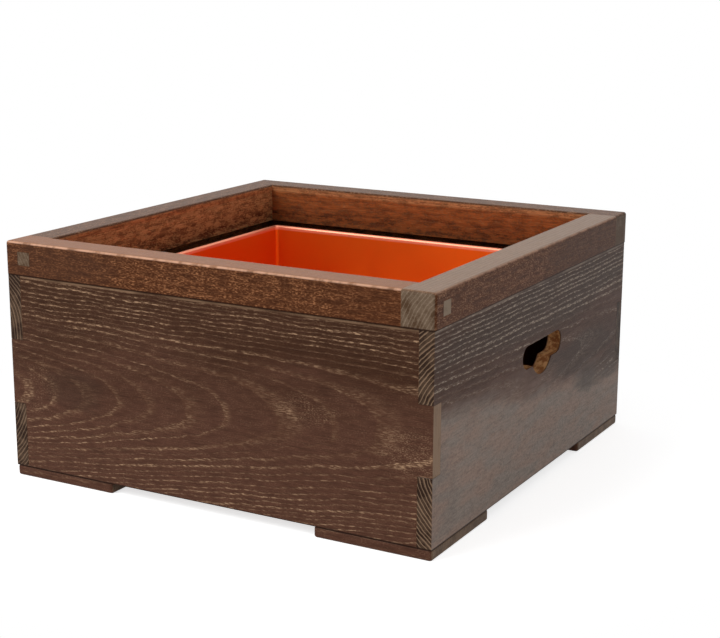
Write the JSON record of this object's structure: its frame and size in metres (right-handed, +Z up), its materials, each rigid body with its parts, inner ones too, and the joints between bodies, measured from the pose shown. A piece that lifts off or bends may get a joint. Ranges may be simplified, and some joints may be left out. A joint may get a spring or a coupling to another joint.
{
  "type": "portable tea hearth",
  "caption": "Square burnt-wood hearth box on corner feet, with hand holes, a lift-out copper liner and a loose square frame on top.",
  "frame": {"origin": "middle of the footprint, on the floor that the feet stand on", "axes": "+Z up; -Y is the front board, the face without a hand hole that is seen at left in the picture; +X is the side board with a hand hole"},
  "size_m": [0.424, 0.424, 0.2175],
  "materials": {
    "burnt_wood": "burnt, brushed and waxed paulownia, dark brown with pale growth lines",
    "frame_wood": "burnt and waxed paulownia with a soft sheen",
    "inner_wood": "raw paulownia",
    "copper": null,
    "screw_steel": "plain wood screws"
  },
  "bodies": {
    "box": {"front_board": "burnt_wood", "right_board": "burnt_wood", "back_board": "burnt_wood", "left_board": "burnt_wood", "bottom_board": "inner_wood", "foot_front_left": "burnt_wood", "foot_front_right": "burnt_wood", "foot_back_right": "burnt_wood", "foot_back_left": "burnt_wood", "screw_front_left_end_wall": "screw_steel", "screw_front_left_side_wall": "screw_steel", "screw_front_left_bottom": "screw_steel", "screw_front_right_end_wall": "screw_steel", "screw_front_right_side_wall": "screw_steel", "screw_front_right_bottom": "screw_steel", "screw_back_right_end_wall": "screw_steel", "screw_back_right_side_wall": "screw_steel", "screw_back_right_bottom": "screw_steel", "screw_back_left_end_wall": "screw_steel", "screw_back_left_side_wall": "screw_steel", "screw_back_left_bottom": "screw_steel", "liner_stop_front": "inner_wood", "liner_stop_right": "inner_wood", "liner_stop_back": "inner_wood", "liner_stop_left": "inner_wood"},
    "liner": {"copper_liner": "copper"},
    "loose_frame": {"frame_rail_front": "frame_wood", "frame_rail_right": "frame_wood", "frame_rail_back": "frame_wood", "frame_rail_left": "frame_wood"}
  },
  "joints": [
    {"name": "frame_lift", "type": "slide", "parent": "box", "child": "loose_frame", "axis": [0, 0, 1], "range_m": [0, 0.08]},
    {"name": "liner_lift", "type": "slide", "parent": "box", "child": "liner", "axis": [0, 0, 1], "range_m": [0, 0.2]}
  ]
}
